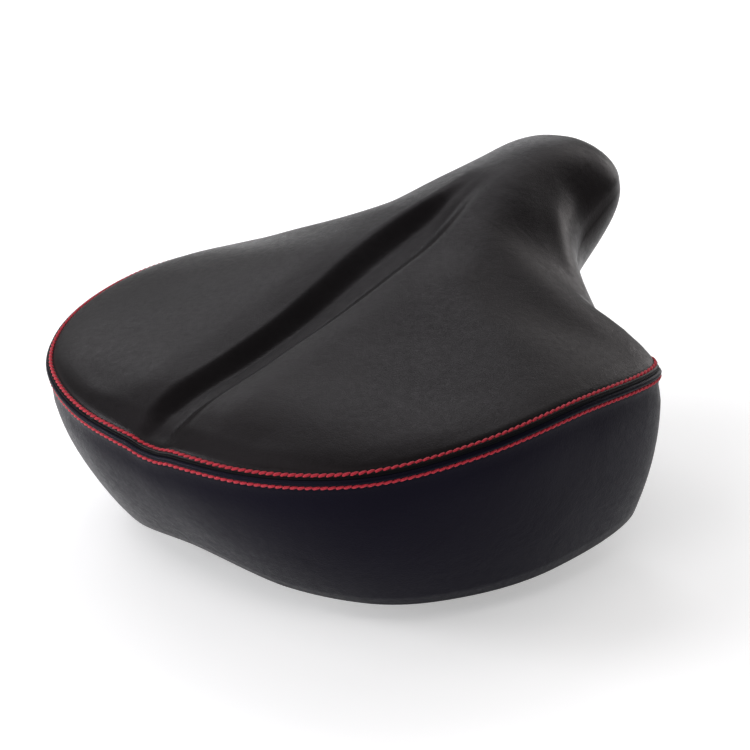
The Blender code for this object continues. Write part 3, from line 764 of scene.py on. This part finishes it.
def leather(name, dark, light, roughness, specular, tint):
    """Fine grained artificial leather: pebbles, creases, pores and soft colour drift."""
    nodes = Nodes(name)
    place_ = nodes.add("ShaderNodeTexCoord").outputs["Object"]
    grain = nodes.add(
        "ShaderNodeTexVoronoi",
        {"Vector": place_, "Scale": 900.0, "Randomness": 1.0},
        feature="DISTANCE_TO_EDGE",
    )
    wrinkle = nodes.add("ShaderNodeTexNoise", {"Vector": place_, "Scale": 420.0, "Detail": 6.0})
    pores = nodes.add("ShaderNodeTexNoise", {"Vector": place_, "Scale": 2600.0, "Detail": 2.0})
    drift = nodes.add("ShaderNodeTexNoise", {"Vector": place_, "Scale": 14.0, "Detail": 3.0})
    folds = nodes.add(
        "ShaderNodeTexNoise", {"Vector": place_, "Scale": 55.0, "Detail": 3.0, "Distortion": 1.0}
    )
    creases = nodes.add(
        "ShaderNodeMapRange",
        {"Value": grain.outputs["Distance"], "From Max": 0.12, "To Max": 1.0},
    )
    nodes.set(
        Base_Color=nodes.ramp(drift.outputs["Fac"], dark, light, 0.35, 0.65),
        Roughness=nodes.spread(wrinkle.outputs["Fac"], roughness - 0.05, roughness + 0.07),
        Specular_IOR_Level=specular,
        Specular_Tint=(*tint, 1),
    )
    nodes.bumps(
        (folds.outputs["Fac"], 0.16, 0.0012),
        (wrinkle.outputs["Fac"], 0.16, 0.0003),
        (creases.outputs["Result"], 0.25, 0.0001),
        (pores.outputs["Fac"], 0.12, 0.00006),
    )
    return nodes.material


def thread(name, dark, light):
    """Twisted sewing thread: fine slanting plies with fuzz."""
    nodes = Nodes(name)
    place_ = nodes.add("ShaderNodeTexCoord").outputs["Object"]
    plies = nodes.add(
        "ShaderNodeTexWave",
        {"Vector": place_, "Scale": 1400.0, "Distortion": 1.5, "Detail": 1.0},
        bands_direction="DIAGONAL",
    )
    fuzz = nodes.add("ShaderNodeTexNoise", {"Vector": place_, "Scale": 3500.0, "Detail": 3.0})
    nodes.set(
        Base_Color=nodes.ramp(plies.outputs["Fac"], dark, light, 0.2, 0.9),
        Roughness=0.65,
        Sheen_Weight=0.1,
        Specular_IOR_Level=0.15,
    )
    nodes.bumps((plies.outputs["Fac"], 0.5, 0.0001), (fuzz.outputs["Fac"], 0.3, 0.00005))
    return nodes.material


def plain_surface(name, low, high, roughness, metallic=0.0, grain=600.0, depth=0.00004):
    """Moulded plastic, rubber, coated or plated metal: drift in colour and a fine texture."""
    nodes = Nodes(name)
    place_ = nodes.add("ShaderNodeTexCoord").outputs["Object"]
    drift = nodes.add("ShaderNodeTexNoise", {"Vector": place_, "Scale": 60.0, "Detail": 4.0})
    fine = nodes.add("ShaderNodeTexNoise", {"Vector": place_, "Scale": grain, "Detail": 4.0})
    nodes.set(
        Base_Color=nodes.ramp(drift.outputs["Fac"], low, high, 0.3, 0.7),
        Metallic=metallic,
        Roughness=nodes.spread(fine.outputs["Fac"], roughness - 0.06, roughness + 0.08),
    )
    nodes.bumps((fine.outputs["Fac"], 0.4, depth))
    return nodes.material


# ------------------------------------------------------------------- studio, camera


def studio():
    """A white table under soft lights that stand round the camera's line of sight."""
    world = bpy.data.worlds.new("studio")
    world.use_nodes = True
    background = world.node_tree.nodes["Background"]
    background.inputs["Color"].default_value = (1, 1, 1, 1)
    background.inputs["Strength"].default_value = WORLD_LIGHT
    bpy.context.scene.world = world
    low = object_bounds()[0][2] - FLOOR_GAP
    data = bpy.data.meshes.new("floor")
    corners = [(-FLOOR, -FLOOR), (FLOOR, -FLOOR), (FLOOR, FLOOR), (-FLOOR, FLOOR)]
    data.from_pydata([(x, y, low) for x, y in corners], [], [(0, 1, 2, 3)])
    floor = linked(data)
    nodes = Nodes("pale_floor")
    nodes.set(
        Base_Color=(0.95, 0.95, 0.95, 1),
        Roughness=0.9,
        Specular_IOR_Level=0.05,
        Emission_Color=(1, 1, 1, 1),
        Emission_Strength=FLOOR_GLOW,
    )
    data.materials.append(nodes.material)
    floor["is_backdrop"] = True
    for name, turn, rise, power, colour in SOFTBOXES:
        turn, rise = math.radians(CAMERA_AZIMUTH - 90 + turn), math.radians(rise)
        way = Vector(
            (math.cos(turn) * math.cos(rise), math.sin(turn) * math.cos(rise), math.sin(rise))
        )
        light = bpy.data.lights.new(name, "AREA")
        light.shape = "DISK"
        light.size = SOFTBOX_SIZE
        light.energy = power
        light.color = colour
        lamp = linked(light)
        lamp.location = Vector(LIT_POINT) + way * SOFTBOX_DISTANCE
        lamp.rotation_euler = way.to_track_quat("Z", "Y").to_euler()


def camera():
    """The photograph's viewpoint, above the back and to the right."""
    angles = (CAMERA_AZIMUTH, CAMERA_RISE, CAMERA_ROLL)
    azimuth, rise, tilt = (math.radians(angle) for angle in angles)
    back = Vector(
        (math.sin(azimuth) * math.cos(rise), -math.cos(azimuth) * math.cos(rise), math.sin(rise))
    )
    level_right = Vector((math.cos(azimuth), math.sin(azimuth), 0))
    level_up = back.cross(level_right)
    right = level_right * math.cos(tilt) + level_up * math.sin(tilt)
    up = level_up * math.cos(tilt) - level_right * math.sin(tilt)
    data = bpy.data.cameras.new("camera")
    data.lens = CAMERA_LENS
    data.sensor_width = CAMERA_SENSOR
    data.shift_x, data.shift_y = CAMERA_SHIFT
    data.clip_start = 0.02
    eye = linked(data)
    axes = Matrix((right, up, back)).transposed().to_4x4()
    spot = Vector(place(CAMERA_TARGET)) + back * CAMERA_DISTANCE
    eye.matrix_world = Matrix.Translation(spot) @ axes
    bpy.context.scene.camera = eye


# ------------------------------------------------------------------------ assembly

camera()
studio()
bpy.context.scene.view_settings.view_transform = "Standard"

TOP = leather(
    "top_leather", (0.0048, 0.0040, 0.0044), (0.0068, 0.0056, 0.0058), 0.33, 0.105, (1, 0.9, 0.96)
)
BAND = leather(
    "band_leather", (0.0026, 0.0022, 0.0056), (0.0036, 0.0032, 0.0074), 0.34, 0.066, (0.78, 0.72, 1)
)
FOLD = leather("folded_leather", (0.002, 0.002, 0.003), (0.003, 0.003, 0.004), 0.5, 0.05, (1, 1, 1))
RED = thread("red_thread", (0.2, 0.007, 0.015), (0.7, 0.038, 0.064))
PLASTIC = plain_surface("moulded_plastic", (0.010, 0.010, 0.011), (0.02, 0.02, 0.021), 0.55)
FOAM = plain_surface("moulded_foam", (0.09, 0.09, 0.09), (0.14, 0.14, 0.14), 0.9)
RUBBER = plain_surface("rubber", (0.012, 0.012, 0.012), (0.022, 0.022, 0.022), 0.7)
COATED = plain_surface("coated_steel", (0.012, 0.012, 0.013), (0.02, 0.02, 0.022), 0.38, 0.3)
ZINC = plain_surface("zinc_steel", (0.5, 0.5, 0.52), (0.62, 0.62, 0.64), 0.32, 1.0)

panel, side = cover_pieces()
foam = foam_pad()
for piece, node, look, slot in (
    (panel, "cover_top_panel", TOP, "top_leather"),
    (side, "cover_side_band", BAND, "band_leather"),
    (foam, "foam_cushion", FOAM, "foam"),
):
    piece.data.materials.append(look)
    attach(piece, "saddle_top")
    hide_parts(node)

for name, side_sign, node in (
    ("upper_stitches", 1, "upper_seam_thread"),
    ("lower_stitches", -1, "lower_seam_thread"),
):
    row = stitches(name, side_sign)
    row.data.materials.append(RED)
    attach(row, "saddle_top")
    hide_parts(node)

fold = seam_fold()
fold.data.materials.append(FOLD)
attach(fold, "saddle_top")
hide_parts("seam_welt")

for side_name in ("left", "right"):
    node = side_name + "_rubber_spring"
    spring, foot = rubber_spring(side_name + "_ribbed_spring", *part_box(node))
    spring.data.materials.append(RUBBER)
    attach(spring, "rail_frame")
    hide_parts(node)
    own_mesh(spring)

LOOKS = {"shell_plastic": PLASTIC, "black_steel": COATED, "zinc_steel": ZINC}
slot_of = {part["node"]: part["material_slot"] for part in frame["record"]["subparts"]}
for node, made in frame["nodes"].items():
    if slot_of[node] in LOOKS:
        made.data.materials.clear()
        made.data.materials.append(LOOKS[slot_of[node]])
